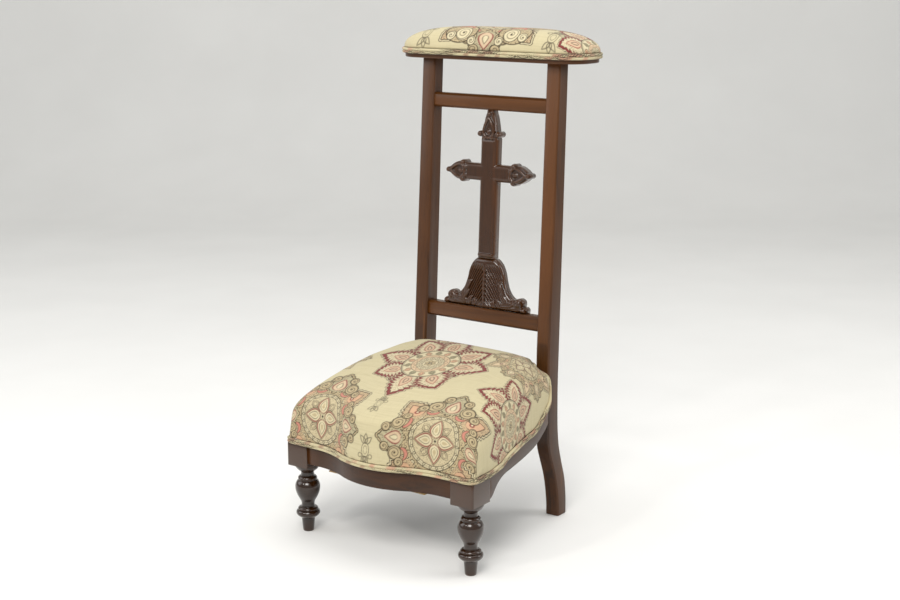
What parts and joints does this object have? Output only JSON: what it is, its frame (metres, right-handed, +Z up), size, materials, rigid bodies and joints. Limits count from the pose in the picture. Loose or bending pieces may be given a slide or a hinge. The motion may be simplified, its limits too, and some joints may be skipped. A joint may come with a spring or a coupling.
{
  "type": "prayer kneeling chair",
  "caption": "Low kneeling chair with turned front legs, raked back posts holding a cross, a sprung padded seat and a padded armrest board on top.",
  "frame": {"origin": "on the floor, at the middle of the width and of the depth of the whole chair", "axes": "+X to the right seen from the front, +Y to the back, +Z up; the front of the seat faces -Y"},
  "size_m": [0.4186, 0.4721, 0.9025],
  "materials": {
    "burlap": "coarse jute cloth",
    "dark_wood": "satin varnish over reddish brown hardwood",
    "dust_cloth": "thin dark dust cloth",
    "hidden_wood": "plain unvarnished wood",
    "screws": "plain steel",
    "spring_wire": "drawn steel wire",
    "stuffing": "hair and wadding under calico",
    "tacks": "blued steel",
    "tapestry": "cream slub cloth with printed medallions",
    "webbing": "jute webbing",
    "welt_cloth": "double welt of the same cloth"
  },
  "bodies": {
    "root": {"armrest_board": "dark_wood", "armrest_cover": "tapestry", "armrest_screws": "screws", "armrest_stuffing": "stuffing", "armrest_welt": "welt_cloth", "burlap_deck": "burlap", "corner_block_front_left": "hidden_wood", "corner_block_front_right": "hidden_wood", "corner_block_rear_left": "hidden_wood", "corner_block_rear_right": "hidden_wood", "cross_arm": "dark_wood", "cross_base": "dark_wood", "cross_upright": "dark_wood", "dust_cover": "dust_cloth", "dust_cover_tacks": "tacks", "front_leg_left": "dark_wood", "front_leg_right": "dark_wood", "front_rail": "dark_wood", "front_rail_dowels": "hidden_wood", "lower_crossrail": "dark_wood", "rear_post_left": "dark_wood", "rear_post_right": "dark_wood", "rear_rail_dowels": "hidden_wood", "rear_seat_rail": "dark_wood", "seat_cover": "tapestry", "seat_springs": "spring_wire", "seat_stuffing": "stuffing", "seat_welt": "welt_cloth", "side_rail_dowels": "hidden_wood", "side_rail_left": "dark_wood", "side_rail_right": "dark_wood", "upper_crossrail": "dark_wood", "webbing_crosswise": "webbing", "webbing_lengthwise": "webbing"}
  },
  "joints": []
}
